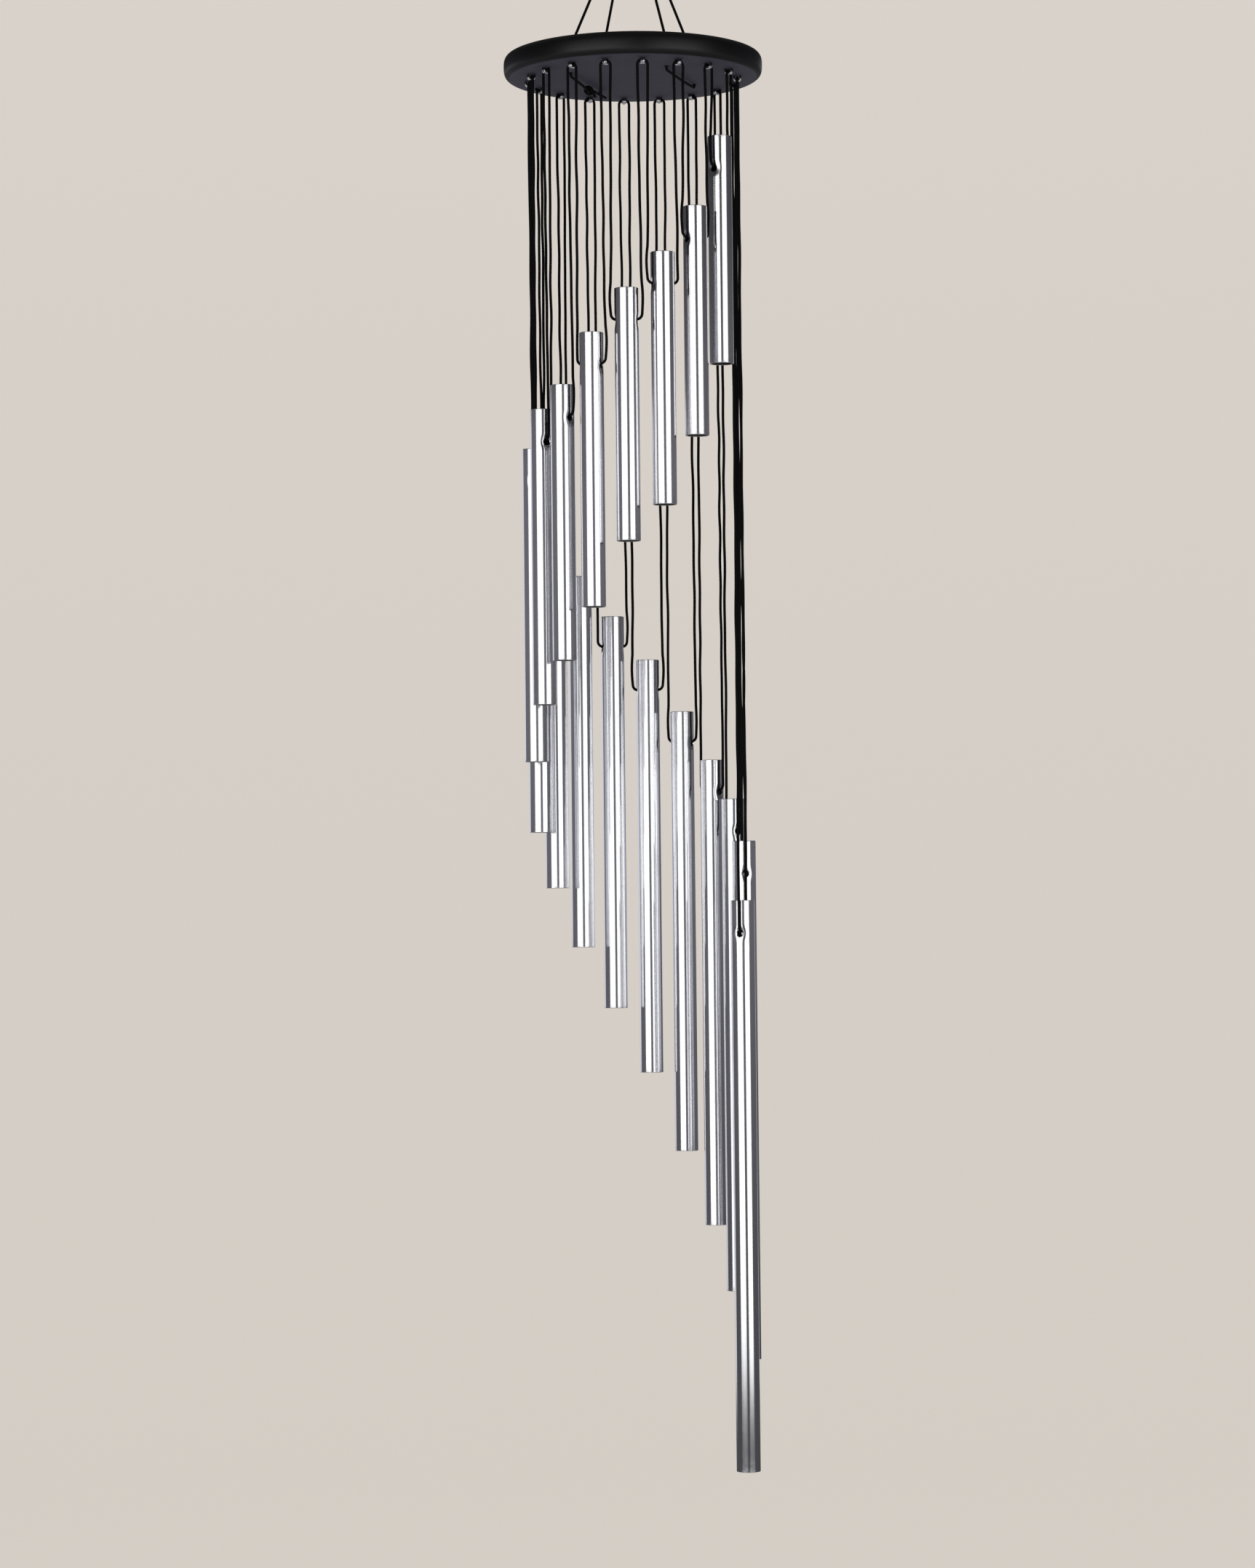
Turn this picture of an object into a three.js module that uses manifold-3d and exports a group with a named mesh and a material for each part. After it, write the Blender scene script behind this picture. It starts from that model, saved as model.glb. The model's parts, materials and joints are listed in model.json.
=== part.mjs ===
// Spiral wind chime: a round wooden disc, hung by four strands from a steel ring, carries a ring of tubes.
// The lacing runs from staple to staple under the disc and dips through one tube between each two staples,
// so every tube hangs from a pair of neighbouring staples, each a little lower than the one before it.
// Millimetres, +Z up, origin where a hook bears on the inside of the hanging ring.
import * as THREE from 'three';
import { mergeVertices } from 'three/addons/utils/BufferGeometryUtils.js';
import Module from 'manifold-3d';

const wasm = await Module();
wasm.setup();

// Gap between pieces that touch
const CLEARANCE = 0.3;

// Hanging ring and the knot that ties the four strands under it
const RING_BORE = 19.5;
const RING_WIRE = 2.5;
const KNOT_WRAPS = 4;
const KNOT_WRAP_PITCH = 1.5;
const KNOT_DIAMETER = 5;

// Hanger cords: two lengths, each through a pair of holes in the disc
const HANGER_CORD = 1.4;
const HANGER_HEIGHT = 77.5;
const HANGER_HOLE = 2.2;
const HANGER_HOLE_INSET = 30;
const HANGER_ANGLE = 28;
const HANGER_BEND = 3;
const STITCH_BEND = 1.6;
const STITCH_SLACK = 0.8;
const STITCH_SAG = 0.5;
const STITCH_SAG_BEND = 36;
const STITCH_KNOT_SHARE = 0.6;
const STITCH_KNOT_TURNS = 2;
const STITCH_KNOT_PITCH = 1.9;
const STITCH_TAIL = 20;

// The knot's two loose tails, one short and one along the stitch: how far each goes aside, along and down,
// as shares of the longer tail
const TAIL_SHARES = [
  { aside: 0.1, along: 0.05, down: 0.2 },
  { aside: 0.02, along: 1, down: 0 },
];

// Disc
const DISC_DIAMETER = 131;
const DISC_THICKNESS = 11.5;
const DISC_EDGE_RADIUS = 3.7;

// Staples, one between each two tubes, set in from the disc's rim
const STAPLE_INSET = 12.5;
const STAPLE_WIRE = 1;
const STAPLE_SPAN = 3.2;
const STAPLE_DEPTH = 7;
const STAPLE_BEND = 1;

// Lacing
const LACE_CORD = 1.4;
const LACE_ARCH_WIDTH = 5.2;
const LACE_STANDOFF = 1.8;

// Tubes
const TUBE_DIAMETER = 12;
const TUBE_WALL = 1;
const CROSS_HOLE = 3.6;
const CROSS_HOLE_DEPTH = 16.5;

// Spiral of tubes: its height from the disc's underside to the lowest tube's foot, and the longest tube
const SPIRAL_HEIGHT = 702;
const LONGEST_TUBE = 285;
const FIRST_TUBE_ANGLE = -35;

// Each tube in turn: its top's drop and its length, as shares of the lowest drop and the longest tube
const TUBE_SHARES = [
  { drop: 0.085, length: 0.4 },
  { drop: 0.174, length: 0.4 },
  { drop: 0.231, length: 0.439 },
  { drop: 0.274, length: 0.439 },
  { drop: 0.325, length: 0.477 },
  { drop: 0.384, length: 0.481 },
  { drop: 0.409, length: 0.519 },
  { drop: 0.452, length: 0.554 },
  { drop: 0.505, length: 0.6 },
  { drop: 0.549, length: 0.635 },
  { drop: 0.598, length: 0.67 },
  { drop: 0.647, length: 0.709 },
  { drop: 0.701, length: 0.747 },
  { drop: 0.766, length: 0.793 },
  { drop: 0.827, length: 0.835 },
  { drop: 0.876, length: 0.877 },
  { drop: 0.928, length: 0.916 },
  { drop: 1, length: 1 },
];

// Facets
const CORD_SIDES = 8;
const WIRE_SIDES = 6;
const TUBE_SIDES = 20;
const CROSS_HOLE_SIDES = 8;
const HANGER_HOLE_SIDES = 12;
const DISC_SIDES = 48;
const RING_SIDES = 26;
const KNOT_SIDES = 12;
const KNOT_WRAP_FACETS = [-60, 0, 60];
const EDGE_STEPS = 4;
const WIDE_BEND_STEPS = 3;
const TIGHT_BEND_STEPS = 2;

// How far a drill runs on past the surface that it breaks through
const OVERCUT = 1;

// Levels, circles and pitches that follow from the sizes above
const RING_RADIUS = (RING_BORE + RING_WIRE) / 2;
const RING_CENTRE_Z = -RING_BORE / 2;
const RING_FOOT_Z = RING_CENTRE_Z - RING_RADIUS;
const KNOT_LOOP_RADIUS = RING_WIRE / 2 + CLEARANCE + HANGER_CORD / 2;
const KNOT_TOP_Z = RING_FOOT_Z - KNOT_LOOP_RADIUS;
const KNOT_FOOT_Z = KNOT_TOP_Z - KNOT_WRAPS * KNOT_WRAP_PITCH;
const DISC_UNDERSIDE_Z = KNOT_FOOT_Z - HANGER_HEIGHT - DISC_THICKNESS;
const HANGER_HOLE_CIRCLE = DISC_DIAMETER - 2 * HANGER_HOLE_INSET;
const HANGER_ANGLES = [0, 90, 180, 270].map((turn) => HANGER_ANGLE + turn);
const STAPLE_CIRCLE = DISC_DIAMETER - 2 * STAPLE_INSET;
const PITCH_ANGLE = 360 / TUBE_SHARES.length;
const LACE_CREST_Z = -CLEARANCE - LACE_CORD / 2;
const STAPLE_CROWN_Z = LACE_CREST_Z - LACE_CORD / 2 - CLEARANCE - STAPLE_WIRE / 2;
const TUBE_CIRCLE_RADIUS = (STAPLE_CIRCLE / 2) * Math.cos(THREE.MathUtils.degToRad(PITCH_ANGLE / 2));
const LOWEST_DROP = SPIRAL_HEIGHT - LONGEST_TUBE;
const TUBES = TUBE_SHARES.map(({ drop, length }) => ({
  drop: drop * LOWEST_DROP,
  length: length * LONGEST_TUBE,
}));

const ALUMINIUM = new THREE.MeshStandardMaterial({ color: 0xdfe1e5, roughness: 0.12, metalness: 1 });
const STEEL = new THREE.MeshStandardMaterial({ color: 0xc4c7cb, roughness: 0.25, metalness: 1 });
const BLACK_WOOD = new THREE.MeshStandardMaterial({ color: 0x1b1b1e, roughness: 0.5, metalness: 0 });
const BLACK_CORD = new THREE.MeshStandardMaterial({ color: 0x0f0f11, roughness: 0.8, metalness: 0 });

// A path through given stations, with the sections of a swept tube set square at each of them
class Stations extends THREE.Curve {
  constructor(points) {
    super();
    this.points = points;
  }

  get steps() {
    return this.points.length - 1;
  }

  getPoint(t) {
    return this.points[Math.round(t * this.steps)].clone();
  }

  getPointAt(u) {
    return this.getPoint(u);
  }

  getTangentAt(u) {
    const here = Math.round(u * this.steps);
    const leg = (from, to) => this.points[to].clone().sub(this.points[from]).normalize();
    const before = leg(Math.max(here - 1, 0), Math.max(here, 1));
    const after = leg(Math.min(here, this.steps - 1), Math.min(here + 1, this.steps));
    return before.add(after).normalize();
  }
}

// Points of the arc that rounds one corner of a route
function roundCorner(before, corner, after, radius, steps) {
  const back = before.clone().sub(corner).normalize();
  const onward = after.clone().sub(corner).normalize();
  const halfAngle = back.angleTo(onward) / 2;
  const middle = back.clone().add(onward).normalize();
  const centre = corner.clone().addScaledVector(middle, radius / Math.sin(halfAngle));
  const start = corner.clone().addScaledVector(back, radius / Math.tan(halfAngle)).sub(centre);
  const axis = onward.clone().cross(back).normalize();
  const turn = Math.PI - 2 * halfAngle;
  const points = [];
  for (let i = 0; i <= steps; i += 1) {
    points.push(start.clone().applyAxisAngle(axis, (turn * i) / steps).add(centre));
  }
  return points;
}

function bend(corner, radius, steps) {
  return { corner, radius, steps };
}

// A route with straight legs from its start to its end, each corner between them rounded
function roundedRoute(start, bends, end) {
  const corners = [start, ...bends.map(({ corner }) => corner), end];
  const arcs = bends.map(({ corner, radius, steps }, i) =>
    roundCorner(corners[i], corner, corners[i + 2], radius, steps));
  return new Stations([start, ...arcs.flat(), end]);
}

// A round bar swept along a route
function sweptBar(route, diameter, sides) {
  const section = new THREE.Shape();
  for (let i = 0; i < sides; i += 1) {
    const angle = (2 * Math.PI * i) / sides;
    const x = (diameter / 2) * Math.cos(angle);
    const y = (diameter / 2) * Math.sin(angle);
    if (i === 0) section.moveTo(x, y);
    else section.lineTo(x, y);
  }
  section.closePath();
  const settings = { steps: route.steps, bevelEnabled: false, extrudePath: route };
  return new THREE.ExtrudeGeometry(section, settings);
}

// A profile of (radius, height) points turned about the Z axis
function turned(profile, sides) {
  return new THREE.LatheGeometry(profile, sides).rotateX(Math.PI / 2);
}

// A cylinder about the Z axis, standing on the given height
function uprightCylinder(radius, foot, height, sides) {
  const cylinder = new THREE.CylinderGeometry(radius, radius, height, sides).rotateX(Math.PI / 2);
  return cylinder.translate(0, 0, foot + height / 2);
}

function solid(geometry) {
  const bare = geometry.clone();
  bare.deleteAttribute('normal');
  bare.deleteAttribute('uv');
  const merged = mergeVertices(bare);
  const vertProperties = new Float32Array(merged.attributes.position.array);
  const triVerts = new Uint32Array(merged.index.array);
  return new wasm.Manifold(new wasm.Mesh({ numProp: 3, vertProperties, triVerts }));
}

function geometryOf(manifold) {
  const mesh = manifold.getMesh();
  const geometry = new THREE.BufferGeometry();
  geometry.setAttribute('position', new THREE.BufferAttribute(mesh.vertProperties, 3));
  geometry.setIndex(new THREE.BufferAttribute(mesh.triVerts, 1));
  geometry.computeVertexNormals();
  return geometry;
}

function cut(geometry, tools) {
  let body = solid(geometry);
  for (const tool of tools) body = body.subtract(solid(tool));
  return geometryOf(body);
}

function piece(name, geometry, material) {
  const mesh = new THREE.Mesh(geometry, material);
  mesh.name = name;
  return mesh;
}

function turnedGroup(degrees) {
  const group = new THREE.Group();
  group.rotation.z = THREE.MathUtils.degToRad(degrees);
  return group;
}

function onCircle(diameter, degrees, z) {
  const angle = THREE.MathUtils.degToRad(degrees);
  return new THREE.Vector3((diameter / 2) * Math.cos(angle), (diameter / 2) * Math.sin(angle), z);
}

// Steel ring, standing in the XZ plane
function hangingRing() {
  const ring = new THREE.TorusGeometry(RING_RADIUS, RING_WIRE / 2, CORD_SIDES, RING_SIDES);
  const mesh = piece('hanging_ring', ring.rotateX(Math.PI / 2), STEEL);
  mesh.position.z = RING_CENTRE_Z;
  return mesh;
}

// Loop round the foot of the ring, closed by a whipped knot
function hangerKnot() {
  const loop = new THREE.TorusGeometry(KNOT_LOOP_RADIUS, HANGER_CORD / 2, CORD_SIDES, KNOT_SIDES);
  loop.rotateY(Math.PI / 2).translate(0, 0, RING_FOOT_Z);
  const bulge = KNOT_WRAP_PITCH / 2;
  const waist = KNOT_DIAMETER / 2 - bulge;
  const profile = [new THREE.Vector2(0, KNOT_FOOT_Z)];
  for (let wrap = 0; wrap < KNOT_WRAPS; wrap += 1) {
    const middle = KNOT_FOOT_Z + (wrap + 0.5) * KNOT_WRAP_PITCH;
    for (const angle of KNOT_WRAP_FACETS) {
      const lift = THREE.MathUtils.degToRad(angle);
      profile.push(new THREE.Vector2(waist + bulge * Math.cos(lift), middle + bulge * Math.sin(lift)));
    }
  }
  profile.push(new THREE.Vector2(0, KNOT_TOP_Z));
  const whipping = turned(profile, KNOT_SIDES);
  return piece('hanger_knot', geometryOf(solid(loop).add(solid(whipping))), BLACK_CORD);
}

// Disc with rounded edges, holes for the hanger cords and blind holes for the staples' legs
function woodenDisc() {
  const radius = DISC_DIAMETER / 2;
  const profile = [new THREE.Vector2(0, 0)];
  for (const [height, from] of [[DISC_EDGE_RADIUS, -90], [DISC_THICKNESS - DISC_EDGE_RADIUS, 0]]) {
    for (let i = 0; i <= EDGE_STEPS; i += 1) {
      const angle = THREE.MathUtils.degToRad(from + (90 * i) / EDGE_STEPS);
      const reach = radius - DISC_EDGE_RADIUS + DISC_EDGE_RADIUS * Math.cos(angle);
      profile.push(new THREE.Vector2(reach, height + DISC_EDGE_RADIUS * Math.sin(angle)));
    }
  }
  profile.push(new THREE.Vector2(0, DISC_THICKNESS));
  const tools = [];
  const through = DISC_THICKNESS + 2 * OVERCUT;
  for (const angle of HANGER_ANGLES) {
    const hole = uprightCylinder(HANGER_HOLE / 2, -OVERCUT, through, HANGER_HOLE_SIDES);
    const place = onCircle(HANGER_HOLE_CIRCLE, angle, 0);
    tools.push(hole.translate(place.x, place.y, 0));
  }
  const legHole = (STAPLE_WIRE / 2 + CLEARANCE) / Math.cos(Math.PI / WIRE_SIDES);
  for (let i = 0; i < TUBES.length; i += 1) {
    for (const side of [-1, 1]) {
      const hole = uprightCylinder(legHole, -OVERCUT, STAPLE_DEPTH + CLEARANCE + OVERCUT, WIRE_SIDES);
      const place = onCircle(STAPLE_CIRCLE + side * STAPLE_SPAN, stapleAngle(i), 0);
      tools.push(hole.translate(place.x, place.y, 0));
    }
  }
  return piece('disc', cut(turned(profile, DISC_SIDES), tools), BLACK_WOOD);
}

// One cord of the hanger: from the knot down through one hole, along the underside, up through the next
function hangerRoute(first, second, sag) {
  const end = DISC_THICKNESS + HANGER_HEIGHT - CLEARANCE;
  const splay = end - HANGER_CORD;
  const mouth = DISC_THICKNESS + HANGER_BEND / 2;
  const under = -CLEARANCE - HANGER_CORD / 2 - STITCH_SLACK;
  const bundle = (HANGER_CORD + CLEARANCE) * Math.SQRT2;
  const lowest = onCircle(HANGER_HOLE_CIRCLE, first, under)
    .lerp(onCircle(HANGER_HOLE_CIRCLE, second, under), STITCH_KNOT_SHARE);
  lowest.z -= sag;
  const strand = (angle) => [
    bend(onCircle(bundle, angle, splay), HANGER_BEND, TIGHT_BEND_STEPS),
    bend(onCircle(HANGER_HOLE_CIRCLE, angle, mouth), HANGER_BEND, TIGHT_BEND_STEPS),
    bend(onCircle(HANGER_HOLE_CIRCLE, angle, under), STITCH_BEND, WIDE_BEND_STEPS),
  ];
  const bends = [
    ...strand(first),
    bend(lowest, STITCH_SAG_BEND, TIGHT_BEND_STEPS),
    ...strand(second).reverse(),
  ];
  const route = roundedRoute(onCircle(bundle, first, end), bends, onCircle(bundle, second, end));
  return { route, lowest };
}

// Knot on the left stitch: the cord's ends wrapped round it, with two loose tails
function stitchKnot(lowest, along) {
  const radius = HANGER_CORD + CLEARANCE;
  const across = along.clone().cross(new THREE.Vector3(0, 0, 1));
  const length = STITCH_KNOT_TURNS * STITCH_KNOT_PITCH;
  const steps = STITCH_KNOT_TURNS * CORD_SIDES;
  const wrap = [];
  for (let i = 0; i <= steps; i += 1) {
    const angle = (2 * Math.PI * i) / CORD_SIDES;
    wrap.push(lowest.clone()
      .addScaledVector(along, length * (i / steps - 0.5))
      .addScaledVector(across, radius * Math.cos(angle))
      .add(new THREE.Vector3(0, 0, radius * Math.sin(angle))));
  }
  const tailEnds = [wrap[0], wrap[steps]].map((from, i) => from.clone()
    .addScaledVector(across, TAIL_SHARES[i].aside * STITCH_TAIL)
    .addScaledVector(along, TAIL_SHARES[i].along * STITCH_TAIL)
    .add(new THREE.Vector3(0, 0, -TAIL_SHARES[i].down * STITCH_TAIL)));
  const route = new Stations([tailEnds[0], ...wrap, tailEnds[1]]);
  return sweptBar(route, HANGER_CORD, CORD_SIDES);
}

function stapleAngle(index) {
  return FIRST_TUBE_ANGLE + PITCH_ANGLE / 2 - index * PITCH_ANGLE;
}

// Staple driven up into the disc, its crown lying along the disc's radius
function staple() {
  const half = STAPLE_SPAN / 2;
  const middle = STAPLE_CIRCLE / 2;
  const point = (side, z) => new THREE.Vector3(middle + side * half, 0, z);
  const shoulders = [-1, 1].map((side) => bend(point(side, STAPLE_CROWN_Z), STAPLE_BEND, TIGHT_BEND_STEPS));
  const route = roundedRoute(point(-1, STAPLE_DEPTH), shoulders, point(1, STAPLE_DEPTH));
  return sweptBar(route, STAPLE_WIRE, WIRE_SIDES);
}

// Stretch of the lacing that carries one tube: from one staple's crest to the next, through the cross hole
function sling(tube) {
  const halfPitch = THREE.MathUtils.degToRad(PITCH_ANGLE / 2);
  const holeZ = -tube.drop - CROSS_HOLE_DEPTH;
  const cordZ = holeZ + CROSS_HOLE / 2 - CLEARANCE - LACE_CORD / 2;
  const archRadius = LACE_ARCH_WIDTH / 2 - CLEARANCE;
  const side = (sign) => {
    const crest = onCircle(STAPLE_CIRCLE, (sign * PITCH_ANGLE) / 2, LACE_CREST_Z);
    const inward = new THREE.Vector3(Math.sin(halfPitch), -sign * Math.cos(halfPitch), 0);
    const shoulder = crest.clone().addScaledVector(inward, LACE_ARCH_WIDTH / 2);
    const elbow = new THREE.Vector3(TUBE_CIRCLE_RADIUS, sign * (TUBE_DIAMETER / 2 + LACE_STANDOFF), cordZ);
    return {
      end: crest.addScaledVector(inward, CLEARANCE / 2),
      bends: [bend(shoulder, archRadius, WIDE_BEND_STEPS), bend(elbow, LACE_STANDOFF, TIGHT_BEND_STEPS)],
    };
  };
  const left = side(-1);
  const right = side(1);
  const route = roundedRoute(left.end, [...left.bends, ...right.bends.reverse()], right.end);
  return sweptBar(route, LACE_CORD, CORD_SIDES);
}

// Square-cut tube with a hole drilled across it for the lacing
function chimeTube(tube) {
  const outer = TUBE_DIAMETER / 2;
  const inner = outer - TUBE_WALL;
  const profile = [[inner, 0], [inner, -tube.length], [outer, -tube.length], [outer, 0], [inner, 0]];
  const shell = turned(profile.map(([radius, height]) => new THREE.Vector2(radius, height)), TUBE_SIDES);
  const reach = TUBE_DIAMETER + 2 * OVERCUT;
  const drill = new THREE.CylinderGeometry(CROSS_HOLE / 2, CROSS_HOLE / 2, reach, CROSS_HOLE_SIDES);
  return cut(shell, [drill.translate(0, 0, -CROSS_HOLE_DEPTH)]);
}

const chime = new THREE.Group();
chime.add(hangingRing(), hangerKnot());

const underDisc = new THREE.Group();
underDisc.position.z = DISC_UNDERSIDE_Z;
chime.add(underDisc);
underDisc.add(woodenDisc());

const leftHanger = hangerRoute(HANGER_ANGLES[2], HANGER_ANGLES[1], HANGER_CORD + CLEARANCE);
const rightHanger = hangerRoute(HANGER_ANGLES[3], HANGER_ANGLES[0], STITCH_SAG);
underDisc.add(piece('left_hanger_cord', sweptBar(leftHanger.route, HANGER_CORD, CORD_SIDES), BLACK_CORD));
underDisc.add(piece('right_hanger_cord', sweptBar(rightHanger.route, HANGER_CORD, CORD_SIDES), BLACK_CORD));
const leftStitch = onCircle(HANGER_HOLE_CIRCLE, HANGER_ANGLES[1], 0)
  .sub(onCircle(HANGER_HOLE_CIRCLE, HANGER_ANGLES[2], 0))
  .normalize();
underDisc.add(piece('stitch_knot', stitchKnot(leftHanger.lowest, leftStitch), BLACK_CORD));

TUBES.forEach((tube, index) => {
  const number = String(index + 1).padStart(2, '0');
  const stapleSeat = turnedGroup(stapleAngle(index));
  stapleSeat.add(piece(`staple_${number}`, staple(), STEEL));
  const station = turnedGroup(FIRST_TUBE_ANGLE - index * PITCH_ANGLE);
  station.add(piece(`sling_${number}`, sling(tube), BLACK_CORD));
  const body = piece(`tube_${number}`, chimeTube(tube), ALUMINIUM);
  body.position.set(TUBE_CIRCLE_RADIUS, 0, -tube.drop);
  station.add(body);
  underDisc.add(stapleSeat, station);
});

export default chime;
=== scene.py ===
"""Spiral wind chime: polished tubes laced in a falling spiral under a round black disc.

Metres, +Z up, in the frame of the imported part: the origin is where a hook bears on the hanging
ring, and the front of the chime faces -Y.
"""

import json
import logging
import math
import random
from collections.abc import Iterable, Sequence
from dataclasses import dataclass
from enum import Enum

import bmesh
import bpy
from bpy.types import Material, Node, NodeSocket, NodeTree, Object
from mathutils import Matrix, Vector
from mathutils.geometry import tessellate_polygon


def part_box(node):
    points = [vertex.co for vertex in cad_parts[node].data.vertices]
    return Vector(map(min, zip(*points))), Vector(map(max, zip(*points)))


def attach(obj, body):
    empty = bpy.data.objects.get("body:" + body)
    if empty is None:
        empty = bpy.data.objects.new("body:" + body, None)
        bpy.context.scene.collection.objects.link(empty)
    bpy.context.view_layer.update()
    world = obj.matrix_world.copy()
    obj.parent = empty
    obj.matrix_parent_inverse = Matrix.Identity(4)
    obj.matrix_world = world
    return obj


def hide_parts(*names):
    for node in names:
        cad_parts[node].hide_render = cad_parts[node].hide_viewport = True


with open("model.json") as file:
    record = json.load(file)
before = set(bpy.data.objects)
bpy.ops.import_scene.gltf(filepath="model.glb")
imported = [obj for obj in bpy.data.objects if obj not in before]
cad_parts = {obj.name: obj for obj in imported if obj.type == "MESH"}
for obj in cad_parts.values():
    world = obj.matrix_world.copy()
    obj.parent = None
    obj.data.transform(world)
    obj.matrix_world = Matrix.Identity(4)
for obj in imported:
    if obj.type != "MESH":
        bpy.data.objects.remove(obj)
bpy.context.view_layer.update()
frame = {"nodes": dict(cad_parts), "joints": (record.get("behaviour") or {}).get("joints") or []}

log = logging.getLogger("wind_chime")

Pair = tuple[float, float]
Triple = tuple[float, float, float]
Colour = Triple
Corner = tuple[Vector, float]

TURN = 2 * math.pi
UP = Vector((0, 0, 1))
AXIS = Vector((0, 0, 0))  # the chime's upright middle line, seen from above
WEAR = "wear"
BORE = "bore"
CORD_MAP = "cord"


class Slot(Enum):
    """The record's material slots."""

    TUBE = "tube"
    STAPLE = "staple"
    RING = "ring"
    DISC = "disc"
    CORD = "cord"


class Side(Enum):
    """The two hanger cords, with the degrees from the disc's first hole to the two of each."""

    LEFT = (180, 90)
    RIGHT = (270, 0)


class Value:
    """A shader value: sums and products of it add Math nodes to its graph."""

    def __init__(self, graph: "Graph", socket: NodeSocket) -> None:
        """Wraps an output socket of the graph."""
        self.graph = graph
        self.socket = socket

    def _math(self, operation: str, *terms: "Value | float") -> "Value":
        """Adds one Math node.

        Args:
            operation: The Math node's operation.
            terms: The values of its sockets, in order.

        Returns:
            The node's result.
        """
        node = self.graph.node("ShaderNodeMath", {"operation": operation}, dict(enumerate(terms)))
        return Value(self.graph, node.outputs[0])

    def __add__(self, other: "Value | float") -> "Value":
        """self + other."""
        return self._math("ADD", self, other)

    def __radd__(self, other: float) -> "Value":
        """other + self."""
        return self._math("ADD", other, self)

    def __sub__(self, other: "Value | float") -> "Value":
        """self - other."""
        return self._math("SUBTRACT", self, other)

    def __rsub__(self, other: float) -> "Value":
        """other - self."""
        return self._math("SUBTRACT", other, self)

    def __mul__(self, other: "Value | float") -> "Value":
        """self * other."""
        return self._math("MULTIPLY", self, other)

    def __rmul__(self, other: float) -> "Value":
        """other * self."""
        return self._math("MULTIPLY", other, self)

    def sine(self) -> "Value":
        """The sine of self, in radians."""
        return self._math("SINE", self)


class Graph:
    """A node tree that is filled one node at a time."""

    def __init__(self, tree: NodeTree) -> None:
        """Empties the tree and keeps it."""
        self.tree = tree
        tree.nodes.clear()

    def node(
        self,
        kind: str,
        settings: dict[str, object] | None = None,
        inputs: dict[str | int, object] | None = None,
    ) -> Node:
        """Adds one node.

        Args:
            kind: The node's type.
            settings: Its properties, set first.
            inputs: Values, or sockets to link, by socket name or number.

        Returns:
            The new node.
        """
        made = self.tree.nodes.new(kind)
        for name, value in (settings or {}).items():
            setattr(made, name, value)
        for key, value in (inputs or {}).items():
            link = value.socket if isinstance(value, Value) else value
            if isinstance(link, NodeSocket):
                self.tree.links.new(link, made.inputs[key])
            else:
                made.inputs[key].default_value = value
        return made

    def value(self, node: Node, output: str | int = 0) -> Value:
        """One output of a node as a value."""
        return Value(self, node.outputs[output])

    def place(self, output: str = "Object") -> NodeSocket:
        """A texture coordinate of the piece itself."""
        return self.node("ShaderNodeTexCoord").outputs[output]

    def parts(self, vector: NodeSocket) -> tuple[Value, Value, Value]:
        """The three components of a vector."""
        node = self.node("ShaderNodeSeparateXYZ", inputs={0: vector})
        return tuple(self.value(node, axis) for axis in range(3))

    def stretched(self, vector: NodeSocket, scale: Triple) -> NodeSocket:
        """A vector times a scale along each axis."""
        node = self.node("ShaderNodeVectorMath", {"operation": "MULTIPLY"}, {0: vector, 1: scale})
        return node.outputs[0]

    def step(self, value: Value, limits: Pair) -> Value:
        """A smooth step of a value, from 0 at the first limit to 1 at the second."""
        inputs = {"Value": value, "From Min": limits[0], "From Max": limits[1]}
        return self.value(self.node(
            "ShaderNodeMapRange", {"interpolation_type": "SMOOTHSTEP"}, inputs))

    def mix(
        self, share: Value, first: NodeSocket | Colour, second: NodeSocket | Colour
    ) -> NodeSocket:
        """Mixes two colours.

        Args:
            share: How much of the second colour there is.
            first: The colour at 0.
            second: The colour at 1.

        Returns:
            The mixed colour.
        """
        colours = [c if isinstance(c, NodeSocket) else (*c, 1) for c in (first, second)]
        node = self.node(
            "ShaderNodeMix", {"data_type": "RGBA"}, {0: share, 6: colours[0], 7: colours[1]})
        return node.outputs[2]

    def attribute(self, name: str) -> Value:
        """A number that the mesh keeps for each of its points."""
        return self.value(self.node("ShaderNodeAttribute", {"attribute_name": name}), "Fac")

    def bump(self, height: Value) -> NodeSocket:
        """The normal of a surface with a relief of that height in metres."""
        inputs = {"Height": height, "Strength": 1, "Distance": 1}
        return self.node("ShaderNodeBump", inputs=inputs).outputs[0]

    def surface(self, inputs: dict[str, object]) -> None:
        """Ends a material's graph with one principled surface."""
        shader = self.node("ShaderNodeBsdfPrincipled", inputs=inputs)
        self.node("ShaderNodeOutputMaterial", inputs={"Surface": shader.outputs[0]})


def material_graph(name: str) -> tuple[Material, Graph]:
    """Makes an empty material.

    Args:
        name: The material's name.

    Returns:
        The material and its graph.
    """
    material = bpy.data.materials.new(name)
    material.use_nodes = True
    return material, Graph(material.node_tree)


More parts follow.
